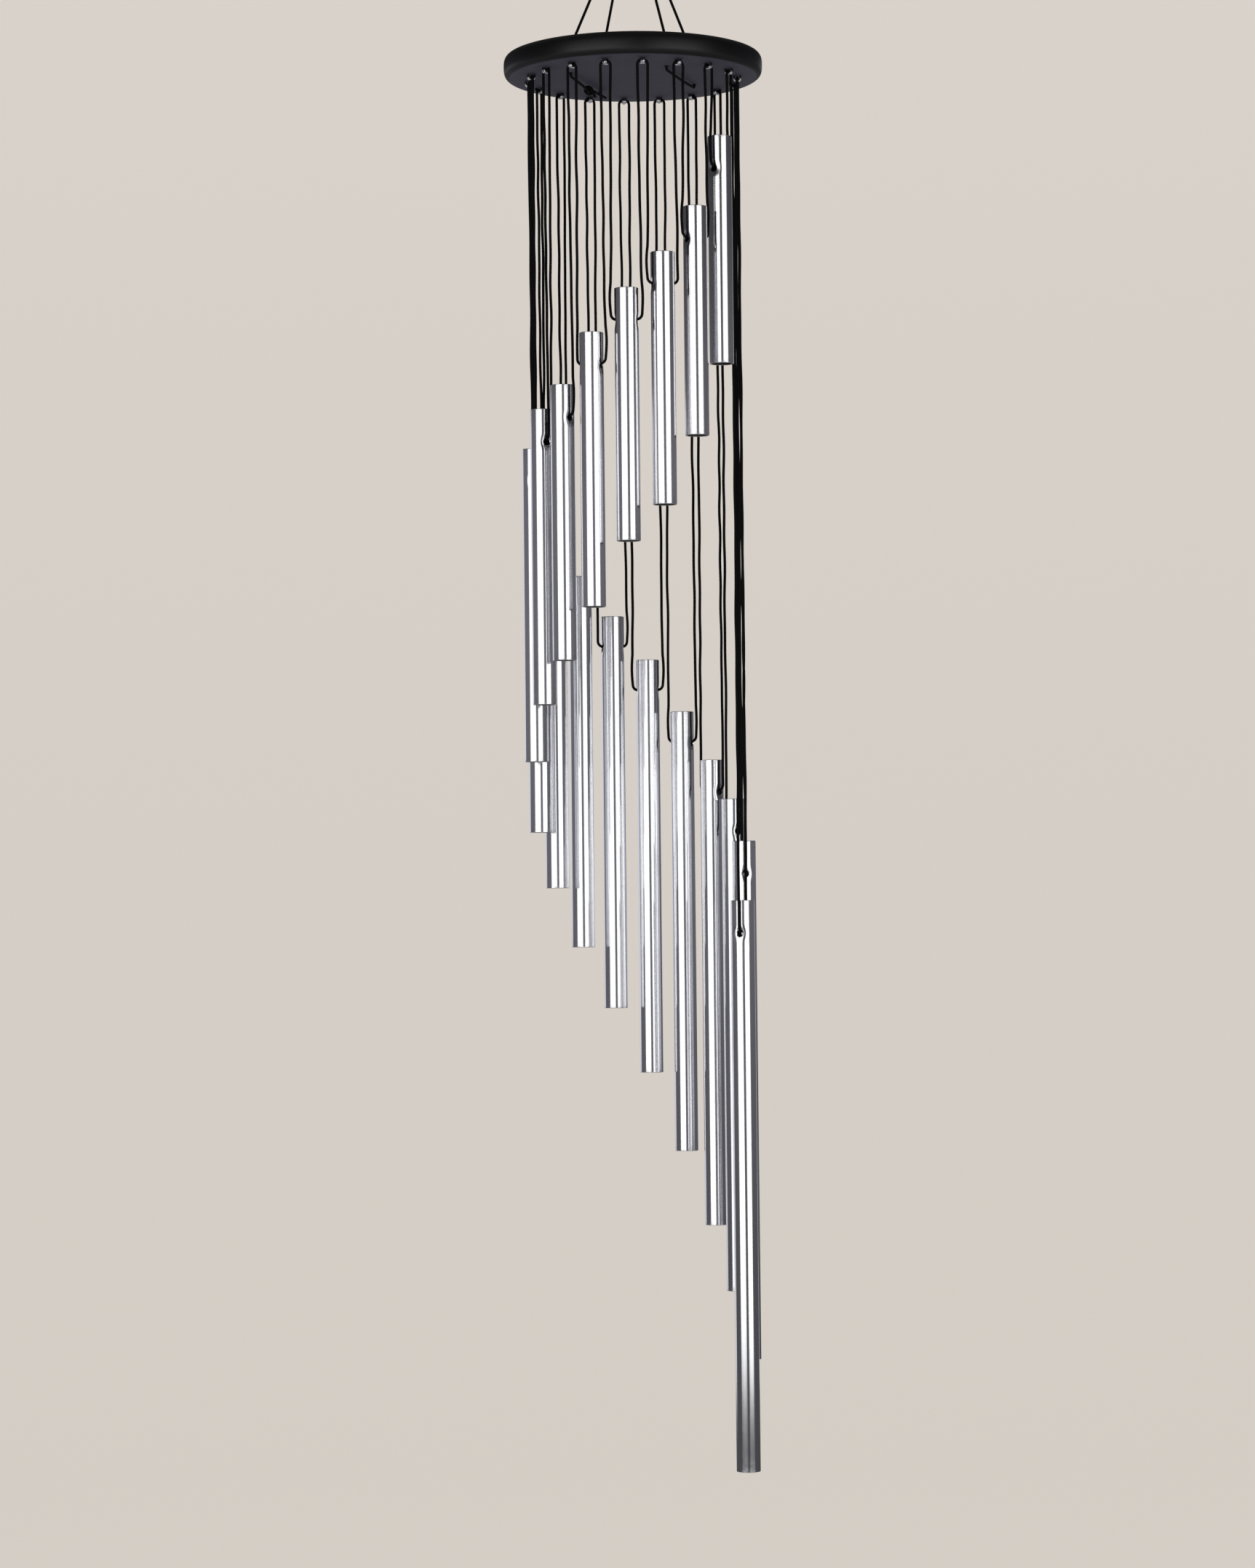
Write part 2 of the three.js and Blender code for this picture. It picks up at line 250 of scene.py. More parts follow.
@dataclass(frozen=True)
class Grain:
    """A soft noise in a finish: its waves in a metre, its octaves, the limits that it is stepped
    between, and its strength as a second colour, as roughness and as relief in metres.
    """

    waves: float | Triple
    detail: float = 2
    limits: Pair | None = None
    tint: float = 0
    rough: float = 0
    relief: float = 0

    def over(self, graph: Graph, mask: Value | None = None) -> "Layer":
        """Lays the noise over a piece.

        Args:
            graph: The graph of the piece's finish.
            mask: Where the noise shows, if not all over.

        Returns:
            The layer.
        """
        place, scale = graph.place(), self.waves
        if isinstance(scale, tuple):
            place, scale = graph.stretched(place, scale), 1
        inputs = {"Vector": place, "Scale": scale, "Detail": self.detail}
        value = graph.value(graph.node("ShaderNodeTexNoise", inputs=inputs))
        if self.limits:
            value = graph.step(value, self.limits)
        return Layer(self, mask * value if mask else value)


@dataclass(frozen=True)
class Layer:
    """A grain that lies over a piece."""

    grain: Grain
    value: Value

    @property
    def tint(self) -> Value:
        """Its share of a second colour."""
        return self.value * self.grain.tint

    @property
    def rough(self) -> Value:
        """The roughness that it adds."""
        return self.value * self.grain.rough

    @property
    def relief(self) -> Value:
        """The height that it adds, in metres."""
        return self.value * self.grain.relief


@dataclass(frozen=True)
class PolishedAluminium:
    """Drawn and polished tube: fine lines along it, faint smears, worn ends and holes, a rougher bore
    whose darker colour is painted shade.
    """

    bright: Colour = (0.925, 0.928, 0.948)
    smeared: Colour = (0.78, 0.776, 0.79)
    worn: Colour = (0.42, 0.41, 0.4)
    # Painted shade: the bore, and the cut ends by half, are coloured this dark.
    bore_shade: Colour = (0.1, 0.098, 0.1)
    roughness: float = 0.1
    bore_roughness: float = 0.35
    drawn: Grain = Grain((1900, 1900, 9), 3, rough=0.04, relief=0.0000003)
    smears: Grain = Grain((90, 90, 26), 4, (0.5, 0.72), tint=0.5, rough=0.05)
    pits: Grain = Grain(1500, 1, (0.68, 0.76), tint=0.2, relief=-0.000001)
    waves: Grain = Grain((55, 55, 11), 1, relief=0.00003)
    patches: Grain = Grain((46, 46, 13), 1, (0.7, 0.8))
    spots: Grain = Grain(1500, 2, (0.56, 0.64), tint=0.2, rough=0.08, relief=0.0000025)
    scuffs: Grain = Grain(650, 3, (0.35, 0.65), tint=0.6, rough=0.2, relief=-0.000003)

    def material(self) -> Material:
        """Makes the finish.

        Returns:
            The material.
        """
        material, graph = material_graph("polished_aluminium")
        drawn, smears = self.drawn.over(graph), self.smears.over(graph)
        pits, waves = self.pits.over(graph), self.waves.over(graph)
        spots = self.spots.over(graph, self.patches.over(graph).value)
        scuffs = self.scuffs.over(graph, graph.attribute(WEAR))
        bore = graph.attribute(BORE)
        colour = graph.mix(smears.tint, self.bright, self.smeared)
        colour = graph.mix(scuffs.tint + pits.tint + spots.tint, colour, self.worn)
        rough = self.roughness + drawn.rough + smears.rough + spots.rough + scuffs.rough
        relief = drawn.relief + waves.relief + spots.relief + pits.relief + scuffs.relief
        graph.surface({
            # The bore's dark base colour is painted shade; its added roughness is real.
            "Base Color": graph.mix(bore, colour, self.bore_shade),
            "Metallic": 1,
            "Roughness": rough + bore * self.bore_roughness,
            "Normal": graph.bump(relief),
        })
        return material


@dataclass(frozen=True)
class BrightWire:
    """Staple wire: a bright crown, and legs coloured dark from just under the disc upward, a painted
    shade under the disc.
    """

    leg_shade_z: float
    bright: Colour = (0.8, 0.8, 0.81)
    bloomed: Colour = (0.56, 0.56, 0.58)
    # Painted shade: the legs' dark colour stands in for the shade under the disc.
    leg_shade: Colour = (0.02, 0.019, 0.024)
    fade: float = 0.0004
    roughness: float = 0.22
    dark_leg_roughness: float = 0.2
    dark_leg_relief: float = 0.00002
    specular: float = 0.1
    bloom: Grain = Grain(900, 3, (0.45, 0.7), tint=0.5, rough=0.12, relief=0.000002)
    lines: Grain = Grain((600, 600, 4000), 2, rough=0.06, relief=0.000004)

    def material(self) -> Material:
        """Makes the finish.

        Returns:
            The material.
        """
        material, graph = material_graph("bright_wire")
        bloom, lines = self.bloom.over(graph), self.lines.over(graph)
        ragged_z = graph.parts(graph.place())[2] + (bloom.value - 0.5) * (2 * self.fade)
        # Painted shade: the wire turns dark from just under the disc upward, with a ragged edge.
        leg_shade_share = graph.step(ragged_z, (self.leg_shade_z - self.fade, self.leg_shade_z + self.fade))
        metal = graph.mix(bloom.tint, self.bright, self.bloomed)
        graph.surface({
            "Base Color": graph.mix(leg_shade_share, metal, self.leg_shade),
            "Metallic": 1 - leg_shade_share,
            "Roughness": self.roughness + bloom.rough + lines.rough + leg_shade_share * self.dark_leg_roughness,
            "Normal": graph.bump(lines.relief + bloom.relief + leg_shade_share * self.dark_leg_relief),
            "Specular IOR Level": self.specular,
        })
        return material


@dataclass(frozen=True)
class PlatedSteel:
    """Bright plated ring, rubbed where it hangs."""

    bright: Colour = (0.8, 0.805, 0.82)
    rubbed: Colour = (0.56, 0.54, 0.51)
    roughness: float = 0.1
    rub: Grain = Grain(420, 4, (0.5, 0.75), tint=0.5, rough=0.15, relief=0.000004)
    haze: Grain = Grain(2600, 2, rough=0.05, relief=0.000002)

    def material(self) -> Material:
        """Makes the finish.

        Returns:
            The material.
        """
        material, graph = material_graph("plated_steel")
        rub, haze = self.rub.over(graph), self.haze.over(graph)
        graph.surface({
            "Base Color": graph.mix(rub.tint, self.bright, self.rubbed),
            "Metallic": 1,
            "Roughness": self.roughness + rub.rough + haze.rough,
            "Normal": graph.bump(haze.relief + rub.relief),
        })
        return material


@dataclass(frozen=True)
class BlackLacquer:
    """Black lacquered wood: satin on the edge and top, rougher on the underside, whose lighter bluish
    colour is painted light from below.
    """

    edge: Colour = (0.001, 0.001, 0.0014)
    # Painted light: the underside's lighter bluish colour stands in for light from below; the streaks
    # in it are grain.
    underside: Colour = (0.062, 0.057, 0.083)
    lit_streak: Colour = (0.078, 0.073, 0.1)
    dust: Colour = (0.06, 0.058, 0.056)
    roughness: float = 0.32
    below_roughness: float = 0.35
    specular: float = 0.44
    lit_underside_facing: Pair = (0.94, 0.996)
    below_facing: Pair = (0.2, 0.7)
    grain: Grain = Grain((28, 620, 620), 4, relief=0.00001)
    streaks: Grain = Grain((28, 620, 620), 4, (0.35, 0.75), tint=0.6)
    pores: Grain = Grain((160, 2600, 2600), 2, (0.6, 0.72), tint=0.03, rough=0.08, relief=-0.000012)
    cloud: Grain = Grain(45, 3, rough=0.12)
    peel: Grain = Grain(900, 2, relief=0.000005)
    specks: Grain = Grain(2300, 1, (0.72, 0.78), tint=0.25)

    def material(self) -> Material:
        """Makes the finish.

        Returns:
            The material.
        """
        material, graph = material_graph("black_lacquer")
        grain, streaks, pores, cloud, peel, specks = (
            noise.over(graph) for noise in (
                self.grain, self.streaks, self.pores, self.cloud, self.peel, self.specks))
        facing_down = 0 - graph.parts(graph.place("Normal"))[2]
        below = graph.step(facing_down, self.below_facing)
        # Painted light from below: the underside is coloured lighter than the black edge.
        lit_underside = graph.mix(streaks.tint, self.underside, self.lit_streak)
        colour = graph.mix(graph.step(facing_down, self.lit_underside_facing), self.edge, lit_underside)
        rough = self.roughness + cloud.rough + pores.rough
        graph.surface({
            "Base Color": graph.mix(specks.tint + pores.tint, colour, self.dust),
            "Roughness": rough + below * self.below_roughness,
            "Normal": graph.bump(grain.relief + peel.relief + pores.relief),
            "Specular IOR Level": self.specular,
        })
        return material


@dataclass(frozen=True)
class BraidedCord:
    """Matt black braid: two sets of strands that cross round the cord, with a little fuzz."""

    # Painted light: the braid's hollows are coloured darker as shade and its crowns lighter as
    # highlight.
    hollow_shade: Colour = (0.0012, 0.0012, 0.0014)
    crown: Colour = (0.0065, 0.0065, 0.0075)
    strands: int = 4
    pitch: float = 0.0021
    weave_light: float = 0.7
    weave_relief: float = 0.00004
    roughness: float = 0.6
    specular: float = 0.12
    fuzz: Grain = Grain(3800, 2, tint=0.3, rough=0.25, relief=0.00001)

    def material(self) -> Material:
        """Makes the finish.

        Returns:
            The material.
        """
        material, graph = material_graph("braided_cord")
        around, along, _ = graph.parts(
            graph.node("ShaderNodeUVMap", {"uv_map": CORD_MAP}).outputs[0])
        turns = around * (TURN * self.strands)
        travel = along * (TURN / self.pitch)
        weave = 0.5 + (turns + travel).sine() * (turns - travel).sine() * 0.5
        fuzz = self.fuzz.over(graph)
        graph.surface({
            # The weave paints shade into the hollows and highlight onto the crowns; the fuzz is real
            # tone.
            "Base Color": graph.mix(weave * self.weave_light + fuzz.tint, self.hollow_shade, self.crown),
            "Roughness": self.roughness + fuzz.rough,
            "Normal": graph.bump(weave * self.weave_relief + fuzz.relief),
            "Specular IOR Level": self.specular,
        })
        return material


def spokes(count: int) -> list[float]:
    """Angles spread evenly round a full turn."""
    return [TURN * i / count for i in range(count)]


class Draft:
    """The points and faces of a mesh while it is made."""

    def __init__(self) -> None:
        """Starts empty."""
        self.points: list[Vector] = []
        self.marks: dict[str, list[float]] = {WEAR: [], BORE: []}
        self.faces: list[tuple[int, ...]] = []
        self.maps: dict[int, list[Pair]] = {}

    def point(self, place: Vector, wear: float = 0, bore: float = 0) -> int:
        """Adds a point.

        Args:
            place: Where it is.
            wear: How worn the surface is there, from 0 to 1.
            bore: How far the point counts as lying in a bore, from 0 to 1.

        Returns:
            The point's number.
        """
        self.points.append(place)
        self.marks[WEAR].append(wear)
        self.marks[BORE].append(bore)
        return len(self.points) - 1

    def ring(self, places: Iterable[Vector], wear: float = 0, bore: float = 0) -> list[int]:
        """Adds points that are marked alike, and gives their numbers."""
        return [self.point(place, wear, bore) for place in places]

    def face(self, corners: Sequence[int], uv: list[Pair] | None = None) -> None:
        """Adds a face.

        Args:
            corners: The numbers of its points.
            uv: Their places on the cord's map, if it has one.
        """
        if uv:
            self.maps[len(self.faces)] = uv
        self.faces.append(tuple(corners))

    def stack(self, rings: Sequence[Sequence[int]]) -> None:
        """Joins each closed ring to the next by a band of faces.

        Args:
            rings: Rings of as many points each.
        """
        for near, far in zip(rings, rings[1:]):
            for i in range(len(near)):
                j = (i + 1) % len(near)
                self.face((near[i], near[j], far[j], far[i]))

    def bar(self, path: Sequence[Vector], diameter: float, sides: int, closed: bool = False) -> None:
        """Sweeps a round bar along a path, with flat ends, mapped round and along for a braid.

        Args:
            path: The points of its middle line.
            diameter: Its thickness.
            sides: How many sides its section has.
            closed: Whether the last point runs back into the first.
        """
        ahead = [*path[1:], path[0] if closed else path[-1]]
        behind = [path[-1] if closed else path[0], *path[:-1]]
        tangents = [(a - b).normalized() for a, b in zip(ahead, behind)]
        side = tangents[0].orthogonal().normalized()
        rings, lengths, travel = [], [], 0.0
        for i, (middle, tangent) in enumerate(zip(path, tangents)):
            side = (side - tangent * side.dot(tangent)).normalized()
            across = tangent.cross(side)
            travel += (middle - path[i - 1]).length if i else 0.0
            lengths.append(travel)
            rings.append(self.ring(
                middle + (side * math.cos(a) + across * math.sin(a)) * diameter / 2
                for a in spokes(sides)))
        if closed:
            rings.append(rings[0])
            lengths.append(travel + (path[0] - path[-1]).length)
        for i, (near, far) in enumerate(zip(rings, rings[1:])):
            for j in range(sides):
                k = (j + 1) % sides
                corners = ((j, i), (j + 1, i), (j + 1, i + 1), (j, i + 1))
                uv = [(around / sides, lengths[along]) for around, along in corners]
                self.face((near[j], near[k], far[k], far[j]), uv)
        if not closed:
            self.face(rings[0][::-1])
            self.face(rings[-1])

    def piece(
        self, name: str, material: Material, crease: float = 35, matrix: Matrix | None = None
    ) -> Object:
        """Makes the object.

        Args:
            name: The piece's name.
            material: Its finish.
            crease: The angle in degrees from which an edge is shaded sharp.
            matrix: Where the draft's own frame lies.

        Returns:
            The object, at the origin, with its place in its mesh.
        """
        mesh = bpy.data.meshes.new(name)
        mesh.from_pydata(self.points, [], self.faces)
        for mark, values in self.marks.items():
            if any(values):
                mesh.attributes.new(mark, "FLOAT", "POINT").data.foreach_set("value", values)
        if self.maps:
            layer = mesh.uv_layers.new(name=CORD_MAP)
            for number, corners in self.maps.items():
                for loop, uv in zip(mesh.polygons[number].loop_indices, corners):
                    layer.data[loop].uv = uv
        if matrix:
            mesh.transform(matrix)
        work = bmesh.new()
        work.from_mesh(mesh)
        bmesh.ops.recalc_face_normals(work, faces=work.faces)
        work.to_mesh(mesh)
        work.free()
        mesh.shade_smooth()
        mesh.set_sharp_from_angle(angle=math.radians(crease))
        mesh.materials.append(material)
        made = bpy.data.objects.new(name, mesh)
        bpy.context.scene.collection.objects.link(made)
        return made


def fit(piece: Object, body: str, node: str) -> None:
    """Puts a piece on its body, in the place of one node of the part.

    Args:
        piece: The piece.
        body: The body that it moves with.
        node: The node that it stands for.
    """
    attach(piece, body)
    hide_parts(node)
    log.info("%s on %s, %d faces", piece.name, body, len(piece.data.polygons))


def on_circle(diameter: float, degrees: float, z: float = 0) -> Vector:
    """A point on a circle about the Z axis."""
    angle = math.radians(degrees)
    return Vector((diameter / 2 * math.cos(angle), diameter / 2 * math.sin(angle), z))


def ring_points(radius: float, count: int, z: float, middle: Vector = AXIS) -> list[Vector]:
    """Points round a level circle."""
    x, y = middle.xy
    return [Vector((x + radius * math.cos(a), y + radius * math.sin(a), z)) for a in spokes(count)]


def turned(angle: float, z: float) -> Matrix:
    """The frame at a height with X outwards at an angle, and Y along the ring of tubes."""
    return Matrix.Translation((0, 0, z)) @ Matrix.Rotation(angle, 4, "Z")


def eased(share: float, rate: float) -> float:
    """1 along a route, falling to 0 at both ends; the share of its length runs from 0 to 1."""
    return min(1, share * rate, (1 - share) * rate)


def rounded_route(
    start: Vector, corners: Sequence[Corner], end: Vector, steps: int, spacing: float
) -> list[Vector]:
    """A route of straight legs with round corners.

    Args:
        start: Its first point.
        corners: Each corner with the radius of its bend.
        end: Its last point.
        steps: How many steps each bend has.
        spacing: The furthest that two points of it may lie apart.

    Returns:
        The points of the route.
    """
    stops = [start, *(place for place, _ in corners), end]
    bends = [start]
    for before, (corner, radius), after in zip(stops, corners, stops[2:]):
        back, onward = (before - corner).normalized(), (after - corner).normalized()
        half = back.angle(onward) / 2
        centre = corner + (back + onward).normalized() * (radius / math.sin(half))
        spoke = corner + back * (radius / math.tan(half)) - centre
        axis, turn = onward.cross(back).normalized(), math.pi - 2 * half
        for i in range(steps + 1):
            bends.append(centre + Matrix.Rotation(turn * i / steps, 3, axis) @ spoke)
    route = [start]
    for near, far in zip(bends, [*bends[1:], end]):
        count = max(1, math.ceil((far - near).length / spacing))
        route += [near.lerp(far, i / count) for i in range(1, count + 1)]
    return route


@dataclass
class HangingRing:
    """Steel ring that a hook goes through, with the faint bead of its weld."""

    bore: float = 0.0195
    wire: float = 0.0025
    weld_angle: float = 52
    weld_width: float = 4
    weld_swell: float = 0.07
    steps: int = 120
    sides: int = 24

    def build(self, finish: Material) -> None:
        """Makes the ring.

        Args:
            finish: The plated steel.
        """
        draft = Draft()
        radius = (self.bore + self.wire) / 2
        centre = Vector((0, 0, -self.bore / 2))
        rings = []
        for angle in spokes(self.steps):
            off_weld = (math.degrees(angle) - self.weld_angle) / self.weld_width
            reach = self.wire / 2 * (1 + self.weld_swell * math.exp(-off_weld ** 2))
            out = Vector((math.cos(angle), 0, math.sin(angle)))
            rings.append(draft.ring(
                centre + out * (radius + reach * math.cos(a)) + Vector((0, reach * math.sin(a), 0))
                for a in spokes(self.sides)))
        draft.stack([rings[-1], *rings])
        fit(draft.piece("steel_ring", finish), "ring", "hanging_ring")


@dataclass
class HangerKnot:
    """Loop of cord round the ring's foot, closed by a whipping of tight turns over the strands."""

    ring_foot: float = -0.02075
    loop_radius: float = 0.00225
    cord: float = 0.0014
    height: float = 0.006
    foot_drop: float = 0.00025
    wrap: float = 0.0015
    turns: int = 4
    tucked: float = 0.55
    tuck_rate: float = 3
    diameter: float = 0.005
    core_shares: Triple = (0.04, 0.5, 0.97)
    steps: int = 28
    sides: int = 12

    def _lowest_turn(self) -> list[Vector]:
        """The middle line of the level turn just above the strands' ends."""
        z = self.ring_foot - self.loop_radius - self.height - self.foot_drop + self.wrap / 2
        return ring_points((self.diameter - self.wrap) / 2, self.steps, z)

    def _whipping(self) -> list[Vector]:
        """Lays the turns that climb the knot, with their ends tucked in.

        Returns:
            The points of their middle line.
        """
        foot = self._lowest_turn()[0].z
        reach = (self.diameter - self.wrap) / 2
        count = self.turns * self.steps
        path = []
        for i in range(count + 1):
            share = i / count
            angle = TURN * self.turns * share
            out = eased(share, self.turns * self.tuck_rate)
            drawn_in = self.tucked + (1 - self.tucked) * out
            z = foot + (self.height + self.foot_drop - self.wrap) * share
            path.append(Vector((math.cos(angle), math.sin(angle), 0)) * reach * drawn_in + UP * z)
        return path

    def build(self, finish: Material) -> None:
        """Makes the knot.

        Args:
            finish: The cord's finish.
        """
        draft = Draft()
        centre = Vector((0, 0, self.ring_foot))
        loop = [
            centre + Vector((0, math.cos(a), math.sin(a))) * self.loop_radius
            for a in spokes(self.steps)]
        draft.bar(loop, self.cord, self.sides, closed=True)
        draft.bar(self._lowest_turn(), self.wrap, self.sides, closed=True)
        draft.bar(self._whipping(), self.wrap, self.sides)
        top = centre.z - self.loop_radius
        core = [Vector((0, 0, top - self.height * share)) for share in self.core_shares]
        draft.bar(core, self.diameter - 2 * self.wrap, self.sides)
        fit(draft.piece("whipped_knot", finish, crease=50), "hanger", "hanger_knot")


@dataclass
class HangerCords:
    """Two cords, each from the knot down through the disc, along its underside and up again."""

    cord: float = 0.0014
    gap: float = 0.0003
    height: float = 0.0775
    hole_circle: float = 0.071
    hole_angle: float = 28
    bend: float = 0.003
    stitch_bend: float = 0.0016
    slack: float = 0.0008
    sag: float = 0.0005
    sag_bend: float = 0.036
    spacing: float = 0.004
    knot_share: float = 0.6
    knot_turns: int = 2
    knot_pitch: float = 0.0019
    tail: float = 0.02
    tail_droop: float = 1.6
    first_tail: Triple = (0.1, 0.05, 0.2)
    last_tail: Triple = (0.02, 1, 0)
    steps: int = 8
    sides: int = 12

    def _route(
        self, disc: "WoodenDisc", first: float, second: float, sag: float
    ) -> tuple[list[Vector], Vector]:
        """Lays one cord.

        Args:
            disc: The disc that it goes through.
            first: The angle of the hole that it goes down, in degrees.
            second: The angle of the hole that it comes up.
            sag: How far its stitch hangs down at the knot.

        Returns:
            The points of its middle line, and the lowest point of its stitch.
        """
        end = disc.underside + disc.thickness + self.height - self.gap
        splay = end - self.cord
        mouth = disc.underside + disc.thickness + self.bend / 2
        under = disc.underside - self.gap - self.cord / 2 - self.slack
        bundle = (self.cord + self.gap) * math.sqrt(2)
        holes = [on_circle(self.hole_circle, angle, under) for angle in (first, second)]
        lowest = holes[0].lerp(holes[1], self.knot_share) - UP * sag

        def strand(angle: float) -> list[Corner]:
            """The corners of one strand, from the knot down."""
            return [
                (on_circle(bundle, angle, splay), self.bend),
                (on_circle(self.hole_circle, angle, mouth), self.bend),
                (on_circle(self.hole_circle, angle, under), self.stitch_bend),
            ]

        corners = [*strand(first), (lowest, self.sag_bend), *reversed(strand(second))]
        ends = [on_circle(bundle, angle, end) for angle in (first, second)]
        return rounded_route(ends[0], corners, ends[1], self.steps, self.spacing), lowest

    def _knot(self, lowest: Vector, along: Vector) -> list[Vector]:
        """Ties the knot on the left stitch, with its two tails.

        Args:
            lowest: The point of the stitch that it is tied round.
            along: The direction of the stitch.

        Returns:
            The points of its middle line.
        """
        across = along.cross(UP)
        reach = self.cord + self.gap
        count = self.knot_turns * 2 * self.steps
        wrap = []
        for i in range(count + 1):
            angle = TURN * self.knot_turns * i / count
            step = along * (self.knot_turns * self.knot_pitch * (i / count - 0.5))
            out = across * (reach * math.cos(angle)) + UP * (reach * math.sin(angle))
            wrap.append(lowest + step + out)

        def tail(start: Vector, aside: float, onward: float, down: float) -> list[Vector]:
            """A tail that leaves the wrap and drops in a curve."""
            return [
                start + self.tail * (
                    across * (aside * t) + along * (onward * t) - UP * (down * t ** self.tail_droop))
                for t in (i / self.steps for i in range(1, self.steps + 1))]

        first = tail(wrap[0], *self.first_tail)
        return [*reversed(first), *wrap, *tail(wrap[-1], *self.last_tail)]

    def build(self, disc: "WoodenDisc", finish: Material) -> None:
        """Makes both cords and the knot.

        Args:
            disc: The disc that they hold.
            finish: The cord's finish.
        """
        for side in Side:
            first, second = (self.hole_angle + turn for turn in side.value)
            sag = self.cord + self.gap if side is Side.LEFT else self.sag
            route, lowest = self._route(disc, first, second, sag)
            name = side.name.lower()
            draft = Draft()
            draft.bar(route, self.cord, self.sides)
            strands = draft.piece(f"{name}_strands", finish, crease=60)
            fit(strands, "disc", f"{name}_hanger_cord")
            if side is Side.LEFT:
                along = (on_circle(1, second) - on_circle(1, first)).normalized()
                draft = Draft()
                draft.bar(self._knot(lowest, along), self.cord, self.sides)
                fit(draft.piece("tied_knot", finish, crease=60), "disc", "stitch_knot")


@dataclass
class WoodenDisc:
    """Round disc with rounded edges and four holes for the hanger cords."""

    radius: float
    thickness: float
    underside: float
    edge: float = 0.005
    squareness: float = 3
    margin: float = 0.0004
    hole: float = 0.0022
    hole_break: float = 0.0002
    columns: int = 160
    edge_steps: int = 20
    hole_sides: int = 24

    @classmethod
    def of_part(cls) -> "WoodenDisc":
        """The disc with the size and place that it has in the part."""
        low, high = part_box("disc")
        return cls(high.x, high.z - low.z, low.z)

    def _rim(self) -> list[Pair]:
        """Draws the section of the edge, from the underside to the top.

        Returns:
            The radius and height of each of its rings.
        """
        flat = self.radius - self.edge
        rings = [(flat - self.margin, 0.0)]
        for i in range(self.edge_steps + 1):
            angle = math.pi * (i / self.edge_steps - 0.5)
            out = abs(math.cos(angle)) ** (2 / self.squareness)
            up = math.copysign(abs(math.sin(angle)) ** (2 / self.squareness), angle)
            rings.append((flat + self.edge * out, self.thickness / 2 * (1 + up)))
        return [*rings, (flat - self.margin, self.thickness)]

    def build(self, cords: HangerCords, finish: Material) -> None:
        """Makes the disc.

        Args:
            cords: The cords that its holes are for.
            finish: The black lacquered finish.
        """
        draft = Draft()
        rim = [
            draft.ring(ring_points(reach, self.columns, self.underside + z))
            for reach, z in self._rim()]
        draft.stack(rim)
        below, above = [rim[0]], [rim[-1]]
        levels = [
            (self.hole / 2 + self.hole_break, 0),
            (self.hole / 2, self.hole_break),
            (self.hole / 2, self.thickness - self.hole_break),
            (self.hole / 2 + self.hole_break, self.thickness),
        ]
        for quarter in range(4):
            middle = on_circle(cords.hole_circle, cords.hole_angle + 90 * quarter)
            rings = [
                draft.ring(ring_points(reach, self.hole_sides, self.underside + z, middle))
                for reach, z in levels]
            draft.stack(rings)
            below.append(rings[0])
            above.append(rings[-1])
        for loops in (below, above):
            numbers = [number for loop in loops for number in loop]
            for triangle in tessellate_polygon([[draft.points[n] for n in loop] for loop in loops]):
                draft.face([numbers[corner] for corner in triangle])
        fit(draft.piece("black_disc", finish), "disc", "disc")


@dataclass
class Staples:
    """Wire staples driven up into the disc, one between each two tubes."""

    circle: float = 0.106
    wire: float = 0.001
    breadth: float = 0.0023
    span: float = 0.0032
    depth: float = 0.007
    crown: float = -0.0025
    # Where the legs' painted shade begins, below the disc's underside.
    leg_shade_offset: float = -0.002
    bend: float = 0.001
    spacing: float = 0.002
    first_angle: float = -25
    pitch_angle: float = 20
    steps: int = 8
    sides: int = 14

    def build(self, disc: WoodenDisc, count: int, finish: Material) -> None:
        """Makes the staples.

        Args:
            disc: The disc that holds them.
            count: How many there are.
            finish: The wire's finish.
        """
        feet = [self.circle / 2 + side * self.span / 2 for side in (-1, 1)]
        corners = [(Vector((x, 0, self.crown)), self.bend) for x in feet]
        ends = [Vector((x, 0, self.depth)) for x in feet]
        route = rounded_route(ends[0], corners, ends[1], self.steps, self.spacing)
        for number in range(1, count + 1):
            angle = math.radians(self.first_angle - self.pitch_angle * (number - 1))
            draft = Draft()
            draft.bar(route, self.wire, self.sides)
            for point in draft.points:
                point.y *= self.breadth / self.wire
            name, matrix = f"staple_{number:02d}", turned(angle, disc.underside)
            piece = draft.piece(f"bright_{name}", finish, crease=60, matrix=matrix)
            fit(piece, "disc", name)


@dataclass
class TubeSeat:
    """Where one tube of the spiral hangs."""

    number: int
    angle: float
    circle_radius: float
    top: float
    length: float
    cord_z: float

    @classmethod
    def of_part(cls, number: int) -> "TubeSeat":
        """Reads a tube's seat from the part.

        Args:
            number: The tube's number.

        Returns:
            Its seat.
        """
        low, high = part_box(f"tube_{number:02d}")
        middle = (low + high) / 2
        rock = next(j for j in frame["joints"] if j["name"] == f"tube_{number:02d}_rock")
        angle = math.atan2(middle.y, middle.x)
        return cls(number, angle, middle.xy.length, high.z, high.z - low.z, rock["pos_m"][2])


